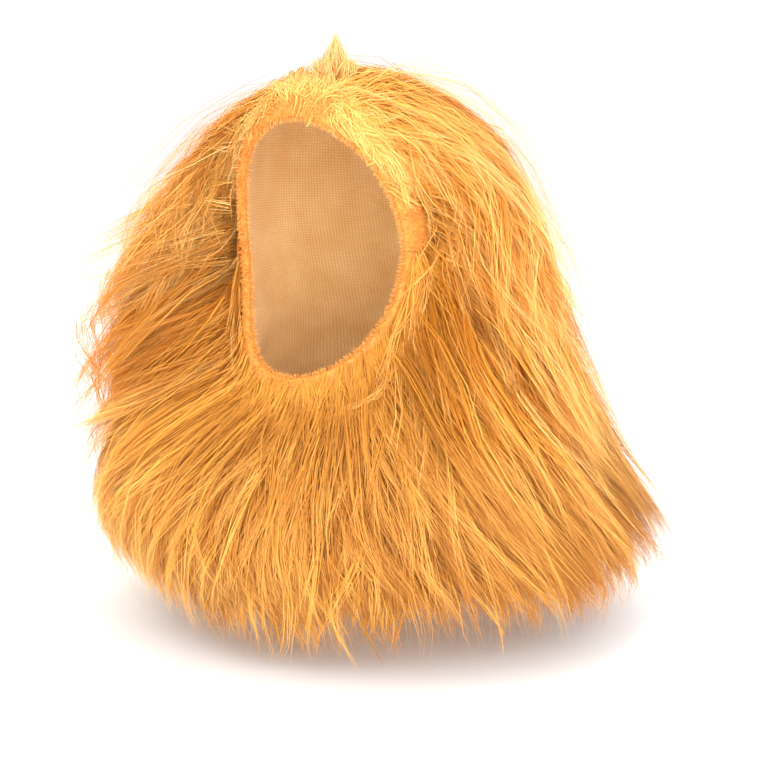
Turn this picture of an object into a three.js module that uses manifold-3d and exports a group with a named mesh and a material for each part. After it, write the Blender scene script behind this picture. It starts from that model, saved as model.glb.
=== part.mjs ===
// A lion mane wig for a large dog: a fabric hood that pulls over the head, open at the face and at the
// neck, with a short plush band round the face opening, a turned neck hem, and long pile in pointed locks.
// Millimetres, +Z up. The wearer looks along -Y and its left is +X. The origin is the underside of the
// hood's crown, where the wig sits on the wearer's head.
import * as THREE from "three";
import Module from "manifold-3d";
import { mergeVertices } from "three/addons/utils/BufferGeometryUtils.js";

const wasm = await Module();
wasm.setup();

// Where the pile stops hanging, round the chest: its height runs down from the crown, and its reaches run
// forward and back from the crown's middle. The hood's own sizes are shares of these.
const hangHeight = 406;
const hangHalfWidth = 147;
const hangFrontReach = 131;
const hangBackReach = 202;
const backingWall = 2.4;

// Face opening, measured over the hood's surface along the middle line from the crown.
const browDistance = 66;
const faceHeight = 196;
const faceWidth = 153;

// Plush band round the face opening, and the turned hem inside the neck edge.
const bandWidth = 20;
const bandThickness = 3;
const bandSeamGap = 0.8;
const hemWidth = 16;
const hemThickness = 2;

// Long pile: how far it stands off the hood, how long one lock is, and the size of a lock.
const pileDepth = 131;
const lockLength = 174;
const lockWidth = 67;
const lockThickness = 30;
const baseShare = 0.84;
const faceFadeSide = 0.16;
const faceFadeChin = 0.85;
const faceFadeLow = 0.12;

// Panels of the pile, in degrees round the hood, and the gaps between neighbours.
const bibHalfAngle = 48;
const napeHalfAngle = 44;
const napeDistance = 95;
const napeRun = 60;
const panelGap = 0.8;
const seatGap = 0.7;
const clothGap = 0.3;

// Tuft on the crown.
const tuftRadius = 17;
const tuftForward = 9;
const tuftRise = 37;
const tuftLocks = 5;

const fadedGold = 0xf2ac50;
const deepGold = 0xe59a3c;
const backingTan = 0xb98a55;
const plushGold = 0xf0ae5a;

// Rings of the hood, from the crown to the neck edge and on below it, where the pile hangs round the
// chest. Each ring is an ellipse in a plane that tilts from its front point to its back point.
// Shares of hangFrontReach, hangHeight, hangHalfWidth, hangBackReach and hangHeight.
const HOOD = [
  { frontOut: 0.0, frontDrop: 0.0, side: 0.0, backOut: 0.0, backDrop: 0.0 },
  { frontOut: 0.261, frontDrop: 0.012, side: 0.245, backOut: 0.17, backDrop: 0.012 },
  { frontOut: 0.396, frontDrop: 0.032, side: 0.382, backOut: 0.277, backDrop: 0.044 },
  { frontOut: 0.482, frontDrop: 0.079, side: 0.49, backOut: 0.358, backDrop: 0.099 },
  { frontOut: 0.54, frontDrop: 0.163, side: 0.556, backOut: 0.417, backDrop: 0.188 },
  { frontOut: 0.565, frontDrop: 0.276, side: 0.578, backOut: 0.46, backDrop: 0.29 },
  { frontOut: 0.558, frontDrop: 0.399, side: 0.558, backOut: 0.5, backDrop: 0.389 },
  { frontOut: 0.565, frontDrop: 0.522, side: 0.558, backOut: 0.554, backDrop: 0.478 },
  { frontOut: 0.672, frontDrop: 0.63, side: 0.626, backOut: 0.644, backDrop: 0.557 },
  { frontOut: 0.794, frontDrop: 0.729, side: 0.721, backOut: 0.742, backDrop: 0.62 },
  { frontOut: 0.901, frontDrop: 0.823, side: 0.83, backOut: 0.851, backDrop: 0.68 },
  { frontOut: 0.962, frontDrop: 0.887, side: 0.911, backOut: 0.92, backDrop: 0.749 },
  { frontOut: 0.993, frontDrop: 0.946, side: 0.966, backOut: 0.971, backDrop: 0.814 },
  { frontOut: 1.0, frontDrop: 1.0, side: 1.0, backOut: 1.0, backDrop: 0.88 },
];
const neckRing = 10;
const lastRing = HOOD.length - 1;

// How far the pile's outer surface stands off each ring above, as shares of pileDepth.
const PILE = [
  { front: 0.0, frontUp: 0.101, side: 0.0, back: 0.0, backUp: 0.101 },
  { front: 0.018, frontUp: 0.073, side: 0.037, back: 0.055, backUp: 0.082 },
  { front: 0.073, frontUp: 0.05, side: 0.119, back: 0.11, backUp: 0.087 },
  { front: 0.275, frontUp: 0.032, side: 0.33, back: 0.192, backUp: 0.082 },
  { front: 0.513, frontUp: 0.032, side: 0.55, back: 0.192, backUp: 0.082 },
  { front: 0.76, frontUp: 0.014, side: 0.779, back: 0.174, backUp: 0.078 },
  { front: 0.934, frontUp: 0.046, side: 0.944, back: 0.202, backUp: 0.06 },
  { front: 0.962, frontUp: 0.06, side: 0.998, back: 0.256, backUp: 0.014 },
  { front: 0.87, frontUp: 0.046, side: 0.944, back: 0.348, backUp: -0.06 },
  { front: 0.705, frontUp: 0.032, side: 0.834, back: 0.435, backUp: -0.169 },
  { front: 0.513, frontUp: 0.032, side: 0.687, back: 0.476, backUp: -0.261 },
  { front: 0.33, frontUp: 0.032, side: 0.55, back: 0.513, backUp: -0.284 },
  { front: 0.174, frontUp: 0.032, side: 0.426, back: 0.513, backUp: -0.298 },
  { front: 0.073, frontUp: 0.032, side: 0.298, back: 0.467, backUp: -0.289 },
];

// Tiers of locks on each panel: where the roots are, as a share of the neck edge's distance, how many
// locks, their length and width as shares of lockLength and lockWidth, how far out they lie from the
// hood at 0 to the pile's outer surface at 1, and how far round they sweep, in degrees.
const SIDE_TIERS = [
  { root: 0.07, count: 4, length: 0.759, width: 0.693, reach: 0.97, sweep: 4 },
  { root: 0.28, count: 4, length: 0.901, width: 0.952, reach: 1.0, sweep: 4 },
  { root: 0.54, count: 5, length: 0.996, width: 0.97, reach: 1.0, sweep: 3 },
  { root: 0.8, count: 5, length: 0.929, width: 0.996, reach: 1.0, sweep: 2 },
];
const BIB_TIERS = [
  { root: 0.76, count: 4, length: 0.806, width: 0.822, reach: 1.0, sweep: 0 },
  { root: 0.9, count: 5, length: 0.683, width: 0.822, reach: 1.0, sweep: 0 },
];
const NAPE_TIERS = [
  { root: 0.32, count: 3, length: 0.948, width: 0.779, reach: 1.0, sweep: 0 },
  { root: 0.6, count: 3, length: 0.996, width: 0.909, reach: 1.0, sweep: 0 },
  { root: 0.8, count: 4, length: 0.948, width: 0.866, reach: 1.0, sweep: 0 },
];

const radians = (degrees) => (degrees * Math.PI) / 180;
const mix = (a, b, share) => a + (b - a) * share;

// A table's column at a fractional ring number, smoothed through the four nearest rows.
function column(table, name, ring) {
  const at = Math.min(Math.max(ring, 0), table.length - 1);
  const low = Math.min(Math.floor(at), table.length - 2);
  const t = at - low;
  const [before, from, to, after] = [-1, 0, 1, 2].map(
    (step) => table[Math.min(Math.max(low + step, 0), table.length - 1)][name],
  );
  const slopeFrom = (to - before) / 2;
  const slopeTo = (after - from) / 2;
  const a = 2 * from - 2 * to + slopeFrom + slopeTo;
  const b = 3 * to - 3 * from - 2 * slopeFrom - slopeTo;
  return a * t ** 3 + b * t ** 2 + slopeFrom * t + from;
}

// A ring's front point, back point and half width, moved out by a share of the pile's depth.
function ringAt(ring, layer = 0) {
  const pile = (name) => layer * pileDepth * column(PILE, name, ring);
  return {
    frontY: -hangFrontReach * column(HOOD, "frontOut", ring) - pile("front"),
    frontZ: -hangHeight * column(HOOD, "frontDrop", ring) + pile("frontUp"),
    backY: hangBackReach * column(HOOD, "backOut", ring) + pile("back"),
    backZ: -hangHeight * column(HOOD, "backDrop", ring) + pile("backUp"),
    half: hangHalfWidth * column(HOOD, "side", ring) + pile("side"),
  };
}

// The point at an angle round a ring, 0 at the front and 180 degrees at the back, positive to the left.
function onRing(shape, angle) {
  const toBack = (1 - Math.cos(angle)) / 2;
  return new THREE.Vector3(
    shape.half * Math.sin(angle),
    mix(shape.frontY, shape.backY, toBack),
    mix(shape.frontZ, shape.backZ, toBack),
  );
}

// Distance along the hood's front middle line for each ring, and the ring at a distance.
const ringDistance = [0];
for (let ring = 1; ring <= lastRing; ring++) {
  const from = ringAt(ring - 1);
  const to = ringAt(ring);
  ringDistance.push(ringDistance[ring - 1] + Math.hypot(to.frontY - from.frontY, to.frontZ - from.frontZ));
}
const neckDistance = ringDistance[neckRing];
const lastDistance = ringDistance[lastRing];

function ringFor(distance) {
  let ring = 1;
  while (ring < lastRing && ringDistance[ring] < distance) ring++;
  const span = ringDistance[ring] - ringDistance[ring - 1];
  return Math.min(ring - 1 + (distance - ringDistance[ring - 1]) / span, lastRing);
}

// The face opening's half height and half angle with the band round it.
const bandMargin = bandWidth + panelGap;
const faceMiddle = browDistance + faceHeight / 2;
const faceHalfAngle = Math.asin(faceWidth / 2 / ringAt(ringFor(faceMiddle)).half);
const faceRadius = (hangHalfWidth * HOOD[5].side + hangFrontReach * HOOD[5].frontOut) / 2;

// How much of its depth the pile has near the face opening: it rises from the band, slower at the chin.
function faceFade(angle, distance) {
  const aside = Math.abs(Math.atan2(Math.sin(angle), Math.cos(angle)));
  const across = aside / (faceHalfAngle + bandMargin / faceRadius);
  const down = (distance - faceMiddle) / (faceHeight / 2 + bandMargin);
  const out = Math.hypot(across, down);
  const span = mix(faceFadeSide, faceFadeChin, Math.max(down / out, 0) ** 2);
  const share = Math.min(Math.max((out - 1) / span, 0), 1);
  return mix(faceFadeLow, 1, 1 - (1 - share) ** 2);
}

// A point over the hood: an angle, a distance from the crown, and a share of the way out to the pile's
// outer surface.
function overPile(angle, distance, layer) {
  return onRing(ringAt(ringFor(distance), layer), angle);
}
function inPile(angle, distance, layer) {
  return overPile(angle, distance, layer * (layer > 0 ? faceFade(angle, distance) : 1));
}

// A point at an even height over the hood's outer surface, which the backing's wall lies under.
function overHood(angle, distance, height) {
  const here = overPile(angle, distance, 0);
  const turn = 0.01;
  const step = 1;
  const round = overPile(angle + turn, distance, 0).sub(overPile(angle - turn, distance, 0));
  const down = overPile(angle, distance + step, 0).sub(overPile(angle, Math.max(distance - step, 0), 0));
  const out = new THREE.Vector3().crossVectors(down, round).normalize();
  return here.addScaledVector(out, height).add(new THREE.Vector3(0, 0, backingWall));
}

// The face opening's edge moved outward by a margin, as an angle and a distance. It starts at the brow.
const faceMarginAngle = (margin) => margin / faceRadius;
function faceEdge(turn, margin) {
  return {
    angle: (faceHalfAngle + faceMarginAngle(margin)) * Math.sin(turn),
    distance: faceMiddle - (faceHeight / 2 + margin) * Math.cos(turn),
  };
}

// Half the angle that the face opening and its margin take at a distance from the crown.
function faceAngleAt(distance, margin) {
  const share = (distance - faceMiddle) / (faceHeight / 2 + margin);
  return Math.abs(share) >= 1 ? 0 : (faceHalfAngle + faceMarginAngle(margin)) * Math.sqrt(1 - share * share);
}

// A closed solid from rings of points, each ring with the same number of points, closed by a fan at
// each end round the given middle points.
function loft(rings, firstMiddle, lastMiddle) {
  const count = rings[0].length;
  const points = rings.flat().concat([firstMiddle, lastMiddle]);
  const first = points.length - 2;
  const last = points.length - 1;
  const faces = [];
  for (let i = 0; i < count; i++) {
    const next = (i + 1) % count;
    for (let r = 0; r + 1 < rings.length; r++) {
      const a = r * count + i;
      const b = r * count + next;
      faces.push(a, a + count, b, b, a + count, b + count);
    }
    const end = (rings.length - 1) * count;
    faces.push(first, i, next, last, end + next, end + i);
  }
  return solid(points, faces);
}

// A closed solid between two sheets of points with rows and columns, such as a wall with thickness. The
// quads' diagonals are mirrored in the second half of the columns.
function slab(rows, columns, place) {
  const points = [];
  for (const side of [0, 1]) {
    for (let r = 0; r <= rows; r++) {
      for (let c = 0; c <= columns; c++) points.push(place(r / rows, c / columns, side));
    }
  }
  const at = (r, c, side) => side * (rows + 1) * (columns + 1) + r * (columns + 1) + c;
  const faces = [];
  const quad = (a, b, c, d, mirrored = false) => {
    if (mirrored) faces.push(a, b, d, b, c, d);
    else faces.push(a, b, c, a, c, d);
  };
  for (let r = 0; r < rows; r++) {
    for (let c = 0; c < columns; c++) {
      const mirrored = c >= columns / 2;
      quad(at(r, c, 0), at(r, c + 1, 0), at(r + 1, c + 1, 0), at(r + 1, c, 0), mirrored);
      quad(at(r, c, 1), at(r + 1, c, 1), at(r + 1, c + 1, 1), at(r, c + 1, 1), mirrored);
    }
  }
  for (let r = 0; r < rows; r++) {
    quad(at(r, 0, 0), at(r + 1, 0, 0), at(r + 1, 0, 1), at(r, 0, 1));
    quad(at(r, columns, 0), at(r, columns, 1), at(r + 1, columns, 1), at(r + 1, columns, 0));
  }
  for (let c = 0; c < columns; c++) {
    const mirrored = c >= columns / 2;
    quad(at(0, c, 0), at(0, c, 1), at(0, c + 1, 1), at(0, c + 1, 0), mirrored);
    quad(at(rows, c, 0), at(rows, c + 1, 0), at(rows, c + 1, 1), at(rows, c, 1), mirrored);
  }
  return solid(points, faces);
}

// A manifold solid from points and faces, turned to face out if it was wound inward.
function solid(points, faces) {
  const geometry = new THREE.BufferGeometry().setFromPoints(points).setIndex(faces);
  const merged = mergeVertices(geometry, 1e-3);
  const indices = Array.from(merged.index.array);
  const kept = [];
  for (let i = 0; i < indices.length; i += 3) {
    const [a, b, c] = indices.slice(i, i + 3);
    if (a !== b && b !== c && c !== a) kept.push(a, b, c);
  }
  const make = (triangles) =>
    new wasm.Manifold(
      new wasm.Mesh({
        numProp: 3,
        vertProperties: merged.attributes.position.array,
        triVerts: new Uint32Array(triangles),
      }),
    );
  const made = make(kept);
  if (made.volume() > 0) return made;
  const turned = [];
  for (let i = 0; i < kept.length; i += 3) turned.push(kept[i], kept[i + 2], kept[i + 1]);
  return make(turned);
}

// The largest body of a solid, without slivers that a cut left behind.
function largest(made) {
  return made.decompose().reduce((a, b) => (a.volume() >= b.volume() ? a : b));
}

function named(name, made, colour, roughness) {
  const data = made.getMesh();
  const positions = new Float32Array(data.numVert * 3);
  for (let i = 0; i < data.numVert; i++) {
    positions.set(data.vertProperties.subarray(i * data.numProp, i * data.numProp + 3), i * 3);
  }
  const geometry = new THREE.BufferGeometry()
    .setAttribute("position", new THREE.BufferAttribute(positions, 3))
    .setIndex(new THREE.BufferAttribute(data.triVerts, 1));
  geometry.computeVertexNormals();
  const mesh = new THREE.Mesh(geometry, new THREE.MeshStandardMaterial({ color: colour, roughness, metalness: 0 }));
  mesh.name = name;
  return mesh;
}

// A solid that fills the hood out to a height over its surface, down past the neck edge by some rows.
const roundSteps = 32;
const hoodRows = 11;
const firstStep = 6;
const rowStep = (neckDistance - firstStep) / hoodRows;
function hoodFill(height, rowsPast) {
  const rings = [];
  for (let s = 0; s <= hoodRows + rowsPast; s++) {
    const points = [];
    for (let i = 0; i < roundSteps; i++) {
      points.push(overHood((i / roundSteps) * 2 * Math.PI, firstStep + s * rowStep, height));
    }
    rings.push(points);
  }
  const top = overHood(0, 0, 0).add(new THREE.Vector3(0, 0, height));
  const bottom = new THREE.Vector3();
  rings.at(-1).forEach((point) => bottom.addScaledVector(point, 1 / roundSteps));
  return loft(rings, top, bottom);
}

// A blunt plug through the hood's front, bounded by the face opening's edge.
const edgeSteps = 30;
const plugReach = 60;
function facePlug(margin) {
  const plug = (height) => {
    const points = [];
    for (let i = 0; i < edgeSteps; i++) {
      const edge = faceEdge((i / edgeSteps) * 2 * Math.PI, margin);
      points.push(overHood(edge.angle, edge.distance, height));
    }
    return points;
  };
  const middle = (height) => overHood(0, faceMiddle, height);
  return loft([plug(-plugReach / 3), plug(0), plug(plugReach)], middle(-plugReach / 3), middle(plugReach * 1.8));
}

function hoodBacking() {
  return hoodFill(0, 0).subtract(hoodFill(-backingWall, 1)).subtract(facePlug(0));
}

// A strip of the band along the face opening's edge between two turns of its outline, grown by a margin.
const bandSteps = 16;
function bandStrip(fromTurn, toTurn, margin = 0) {
  const crown = [0, 1, 1, 0];
  return slab(bandSteps, crown.length - 1, (along, across, side) => {
    const turn = mix(fromTurn, toTurn, along);
    const edge = faceEdge(turn, mix(-margin, bandWidth + margin, across));
    const pad = mix(0.6, 1, crown[Math.round(across * (crown.length - 1))]);
    const top = (bandThickness + margin) * (margin ? 1 : pad);
    return overHood(edge.angle, edge.distance, mix(seatGap - margin * 4, top, side));
  });
}
const band = (fromTurn, toTurn) => bandStrip(fromTurn, toTurn).subtract(hoodFill(clothGap, 0));
const seamTurn = Math.PI / 2;
const bandRoom = [0, 2].map((turn) => bandStrip((turn - 1.02) * seamTurn, (turn + 1.02) * seamTurn, panelGap));

// The turned hem: a flat hoop inside the hood's neck edge.
function neckHem() {
  const top = neckDistance - hemWidth;
  const outer = -backingWall - seatGap;
  const inner = outer - hemThickness;
  const sections = [];
  for (let i = 0; i < roundSteps; i++) {
    const turn = (i / roundSteps) * 2 * Math.PI;
    sections.push([
      overHood(turn, top, outer),
      overHood(turn, neckDistance, outer),
      overHood(turn, neckDistance, inner),
      overHood(turn, top, inner),
    ]);
  }
  const faces = [];
  for (let i = 0; i < roundSteps; i++) {
    const next = (i + 1) % roundSteps;
    for (let k = 0; k < 4; k++) {
      const [a, b, c, d] = [i * 4 + k, i * 4 + ((k + 1) % 4), next * 4 + ((k + 1) % 4), next * 4 + k];
      faces.push(a, b, c, a, c, d);
    }
  }
  return solid(sections.flat(), faces);
}

// A lock of pile: a tapered strip that leaves the hood at an angle and distance, swells out to a share
// of the pile's depth, and ends in a point.
const lockSteps = 4;
function lock(angle, distance, length, width, reach, sweep) {
  const path = (share) => {
    const out = reach * Math.sin((Math.min(share / 0.55, 1) * Math.PI) / 2);
    return inPile(angle + sweep * share, Math.min(distance + length * share, lastDistance), out);
  };
  const rings = [];
  for (let s = 0; s < lockSteps; s++) {
    const share = s / lockSteps;
    const here = path(share);
    const along = path(share + 0.05).sub(here).normalize();
    const beside = inPile(angle + sweep * share + 0.02, Math.min(distance + length * share, lastDistance), reach);
    const side = path(share).sub(beside).setZ(0);
    side.addScaledVector(along, -side.dot(along)).normalize();
    const out = new THREE.Vector3().crossVectors(side, along).normalize();
    const swell = 0.6 + 0.4 * Math.sin(Math.PI * Math.min(share * 1.2, 1));
    const halfWidth = (width / 2) * swell;
    const halfThick = halfWidth * (lockThickness / lockWidth);
    rings.push([
      here.clone().addScaledVector(side, halfWidth),
      here.clone().addScaledVector(out, halfThick),
      here.clone().addScaledVector(side, -halfWidth),
      here.clone().addScaledVector(out, -halfThick),
    ]);
  }
  return loft(rings, path(0), path(1));
}

function tierLocks(tiers, fromAngle, toAngle) {
  return tiers.flatMap((tier, row) => {
    const made = [];
    for (let i = 0; i < tier.count; i++) {
      const distance = tier.root * neckDistance;
      const place = (i + 0.5 + 0.22 * (row % 2 ? 1 : -1)) / tier.count;
      const angle = mix(fromAngle(distance), toAngle(distance), place);
      const uneven = 1 + 0.08 * Math.sin(i * 2.4 + row * 1.7);
      const width = tier.width * lockWidth;
      made.push(lock(angle, distance, tier.length * lockLength * uneven, width, tier.reach, radians(tier.sweep)));
    }
    return made;
  });
}

// Angles where the side panels start and end at a distance from the crown, without their gaps.
function sideFront(distance) {
  const clear = faceAngleAt(distance, bandMargin);
  return distance > faceMiddle ? Math.max(clear, radians(bibHalfAngle)) : clear;
}
function napeHalf(distance) {
  const run = Math.min(Math.max((distance - napeDistance) / napeRun, 0), 1);
  return radians(napeHalfAngle) * Math.sqrt(1 - (1 - run) ** 2);
}
const sideBack = (distance) => Math.PI - napeHalf(distance);

// A slab of the pile's room between two layers. The place gives an angle and a distance from the crown for
// a share of the way down to the end of the even base, and on past it by some rows, and a share across.
const innerShare = -0.08;
const zoneReach = 1.25;
const baseEnd = mix(neckDistance, lastDistance, 0.35);
function patch(place, rows, rowsPast, columns, outer) {
  return slab(rows + rowsPast, columns, (down, across, side) => {
    const { angle, distance } = place((down * (rows + rowsPast)) / rows, across);
    return side ? outer(angle, distance) : overPile(angle, distance, innerShare);
  });
}

// A pile panel: an even base that follows the pile's outer surface, with locks held to the panel's zone.
const pileCore = hoodFill(seatGap, 4);
const baseOuter = (angle, distance) => inPile(angle, distance, baseShare);
const zoneOuter = (angle, distance) => overPile(angle, distance, zoneReach);
function panel(place, rows, columns, locks) {
  const base = patch(place, rows, 0, columns, baseOuter);
  return base.add(wasm.Manifold.union(locks).intersect(patch(place, rows, 2, columns, zoneOuter)));
}

// The bib's place and the nape's place, grown by a margin.
const bibRows = 6;
const bibColumns = 6;
const bibPlace = (margin) => (down, across) => {
  const angle = radians(bibHalfAngle) * mix(-1, 1, across);
  const share = angle / (faceHalfAngle + faceMarginAngle(bandMargin));
  const top = faceMiddle + (faceHeight / 2 + bandMargin) * Math.sqrt(1 - share * share);
  const start = margin ? top - margin * 8 : top;
  return { angle: angle * (1 + margin / hangHalfWidth), distance: down ? mix(top, baseEnd, down) : start };
};
const napeRows = 7;
const napeColumns = 8;
const napePlace = (margin) => (down, across) => {
  const share = mix(-1, 1, across);
  const top = napeDistance + napeRun * (1 - Math.sqrt(1 - share * share));
  const angle = Math.PI + share * (radians(napeHalfAngle) + margin / hangHalfWidth);
  return { angle, distance: down ? mix(top, baseEnd, down) : top - margin * 2 };
};

// Rows of a side panel, closer at the brow where its front edge turns, as shares of the base's run.
const SIDE_ROWS = [0.0, 0.05, 0.097, 0.115, 0.16, 0.24, 0.36, 0.48, 0.61, 0.74, 0.87, 1.0];
function sideFur() {
  const rows = SIDE_ROWS.length - 1;
  const place = (down, across) => {
    const past = Math.max(down - 1, 0);
    const distance = mix(firstStep, baseEnd, SIDE_ROWS[Math.round(Math.min(down, 1) * rows)] + past * 1.6);
    return { distance, angle: mix(sideFront(distance), Math.PI, across) };
  };
  const half = new THREE.BoxGeometry(pileDepth * 8, pileDepth * 12, pileDepth * 12);
  half.translate(pileDepth * 4 + panelGap / 2, 0, 0);
  const made = panel(place, rows, 7, tierLocks(SIDE_TIERS, sideFront, sideBack));
  const bibRoom = patch(bibPlace(panelGap * 2.5), bibRows, 2, bibColumns, zoneOuter);
  const napeRoom = patch(napePlace(panelGap * 4), napeRows, 2, napeColumns, zoneOuter);
  return trimmed(made.intersect(fromGeometry(half)).subtract(bibRoom).subtract(napeRoom));
}

function bibFur() {
  const half = radians(bibHalfAngle);
  return trimmed(panel(bibPlace(0), bibRows, bibColumns, tierLocks(BIB_TIERS, () => -half, () => half)));
}

function napeFur() {
  const half = radians(napeHalfAngle);
  const locks = tierLocks(NAPE_TIERS, () => Math.PI - half, () => Math.PI + half);
  return trimmed(panel(napePlace(0), napeRows, napeColumns, locks));
}

function fromGeometry(geometry) {
  geometry.deleteAttribute("normal");
  geometry.deleteAttribute("uv");
  const merged = mergeVertices(geometry);
  return new wasm.Manifold(
    new wasm.Mesh({
      numProp: 3,
      vertProperties: merged.attributes.position.array,
      triVerts: new Uint32Array(merged.index.array),
    }),
  );
}

// A pile panel cleared from the hood under it and from the tuft's seat.
function trimmed(made) {
  return largest(wasm.Manifold.difference([made, pileCore, tuftSeat(panelGap / 2), ...bandRoom]));
}

// An upright round plug at the tuft's place, grown by a margin.
const tuftSides = 10;
function tuftSeat(margin) {
  const plug = new THREE.CylinderGeometry(tuftRadius + margin, tuftRadius + margin, pileDepth, tuftSides);
  plug.rotateX(Math.PI / 2);
  plug.translate(0, -tuftForward, 0);
  return fromGeometry(plug);
}

// A plume of upright pointed locks on a short round root: one in the middle and the rest round it.
function tuft() {
  const rootTop = inPile(0, 0, 1).z - backingWall;
  const root = new THREE.CylinderGeometry(tuftRadius, tuftRadius, pileDepth, tuftSides);
  root.rotateX(Math.PI / 2);
  root.translate(0, -tuftForward, rootTop - pileDepth / 2);
  const plumes = [fromGeometry(root)];
  for (let i = 0; i <= tuftLocks; i++) {
    const middle = i === tuftLocks;
    const turn = (i / tuftLocks) * 2 * Math.PI;
    const sunk = rootTop * 0.6;
    const rise = tuftRise * (middle ? 1 : 0.66 - 0.12 * Math.cos(turn)) - rootTop + sunk;
    const plume = new THREE.ConeGeometry(tuftRadius * 0.55, rise, 6);
    plume.translate(0, rise / 2, 0);
    plume.rotateX(Math.PI / 2);
    const lean = middle ? 0 : 0.3;
    plume.rotateX(-lean * Math.sin(turn));
    plume.rotateY(lean * Math.cos(turn));
    const out = middle ? 0 : tuftRadius * 0.42;
    plume.translate(out * Math.cos(turn), out * Math.sin(turn) - tuftForward, rootTop - sunk);
    plumes.push(fromGeometry(plume));
  }
  return largest(wasm.Manifold.union(plumes).subtract(pileCore));
}

const gapTurn = bandSeamGap / 2 / (faceHeight / 2);
const left = sideFur();

const mane = new THREE.Group();
mane.add(named("hood_backing", hoodBacking(), backingTan, 0.95));
mane.add(named("brow_band", band(-seamTurn + gapTurn, seamTurn - gapTurn), plushGold, 0.9));
mane.add(named("chin_band", band(seamTurn + gapTurn, 3 * seamTurn - gapTurn), plushGold, 0.9));
mane.add(named("neck_hem", neckHem(), backingTan, 0.95));
mane.add(named("left_fur", left, deepGold, 0.85));
mane.add(named("right_fur", left.mirror([1, 0, 0]), deepGold, 0.85));
mane.add(named("bib_fur", bibFur(), deepGold, 0.85));
mane.add(named("nape_fur", napeFur(), deepGold, 0.85));
mane.add(named("top_tuft", tuft(), fadedGold, 0.85));

export default mane;
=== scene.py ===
# Looks of a lion mane wig for a large dog: long golden pile on a knitted hood, with a plush band round
# the face opening, a bound neck edge and a tuft on the crown. Metres, +Z up, the wearer looks along -Y.
import math

import bpy
import numpy as np
from mathutils import Matrix, Vector


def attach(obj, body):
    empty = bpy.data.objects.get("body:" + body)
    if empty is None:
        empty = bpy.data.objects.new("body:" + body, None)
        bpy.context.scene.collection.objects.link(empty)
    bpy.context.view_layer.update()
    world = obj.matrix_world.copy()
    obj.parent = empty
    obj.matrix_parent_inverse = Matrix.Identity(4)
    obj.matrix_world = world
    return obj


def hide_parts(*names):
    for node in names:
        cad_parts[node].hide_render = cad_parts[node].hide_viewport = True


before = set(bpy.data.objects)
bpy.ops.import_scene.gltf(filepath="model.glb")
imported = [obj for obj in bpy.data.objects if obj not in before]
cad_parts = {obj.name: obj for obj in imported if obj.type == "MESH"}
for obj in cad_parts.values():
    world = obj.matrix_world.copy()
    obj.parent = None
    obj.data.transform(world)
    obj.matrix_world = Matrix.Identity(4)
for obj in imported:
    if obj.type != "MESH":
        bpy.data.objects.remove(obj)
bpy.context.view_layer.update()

MM = 0.001
rng = np.random.default_rng(58)

# Sizes of the hood and its pile, and the tables of their rings, as in the part's own source.
HANG_HEIGHT = 406 * MM
HANG_HALF_WIDTH = 147 * MM
HANG_FRONT_REACH = 131 * MM
HANG_BACK_REACH = 202 * MM
PILE_DEPTH = 131 * MM
LOWEST = -410 * MM
BACKING_WALL = 2.4 * MM
BROW_DISTANCE = 66 * MM
FACE_HEIGHT = 196 * MM
FACE_WIDTH = 153 * MM
BAND_WIDTH = 20 * MM
BAND_GAP = 0.8 * MM
NECK_RING = 10
BIB_ANGLE = math.radians(48)
NAPE_ANGLE = math.radians(44)
NAPE_DISTANCE = 95 * MM
NAPE_RUN = 60 * MM

# Front reach, front drop, half width, back reach, back drop: shares of the sizes above.
HOOD = np.array([
    [0.0, 0.0, 0.0, 0.0, 0.0],
    [0.261, 0.012, 0.245, 0.17, 0.012],
    [0.396, 0.032, 0.382, 0.277, 0.044],
    [0.482, 0.079, 0.49, 0.358, 0.099],
    [0.54, 0.163, 0.556, 0.417, 0.188],
    [0.565, 0.276, 0.578, 0.46, 0.29],
    [0.558, 0.399, 0.558, 0.5, 0.389],
    [0.565, 0.522, 0.558, 0.554, 0.478],
    [0.672, 0.63, 0.626, 0.644, 0.557],
    [0.794, 0.729, 0.721, 0.742, 0.62],
    [0.901, 0.823, 0.83, 0.851, 0.68],
    [0.962, 0.887, 0.911, 0.92, 0.749],
    [0.993, 0.946, 0.966, 0.971, 0.814],
    [1.0, 1.0, 1.0, 1.0, 0.88],
])
# How far the pile stands off: front, front up, side, back, back up, as shares of the pile's depth.
PILE = np.array([
    [0.0, 0.101, 0.0, 0.0, 0.101],
    [0.018, 0.073, 0.037, 0.055, 0.082],
    [0.073, 0.05, 0.119, 0.11, 0.087],
    [0.275, 0.032, 0.33, 0.192, 0.082],
    [0.513, 0.032, 0.55, 0.192, 0.082],
    [0.76, 0.014, 0.779, 0.174, 0.078],
    [0.934, 0.046, 0.944, 0.202, 0.06],
    [0.962, 0.06, 0.998, 0.256, 0.014],
    [0.87, 0.046, 0.944, 0.348, -0.06],
    [0.705, 0.032, 0.834, 0.435, -0.169],
    [0.513, 0.032, 0.687, 0.476, -0.261],
    [0.33, 0.032, 0.55, 0.513, -0.284],
    [0.174, 0.032, 0.426, 0.513, -0.298],
    [0.073, 0.032, 0.298, 0.467, -0.289],
])
HOOD_SCALE = np.array([HANG_FRONT_REACH, HANG_HEIGHT, HANG_HALF_WIDTH, HANG_BACK_REACH, HANG_HEIGHT])


def mix(a, b, share):
    return a + (b - a) * share


def smooth(low, high, value):
    share = np.clip((value - low) / (high - low), 0, 1)
    return share * share * (3 - 2 * share)


def unit(vectors):
    return vectors / np.maximum(np.linalg.norm(vectors, axis=-1, keepdims=True), 1e-12)


def flat_place(angle, distance):
    """Places laid flat, with the crown in the middle and the front at -y."""
    return np.stack([distance * np.sin(angle), -distance * np.cos(angle)], -1)


def from_flat(place):
    return np.arctan2(place[..., 0], -place[..., 1]), np.hypot(place[..., 0], place[..., 1])


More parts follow.
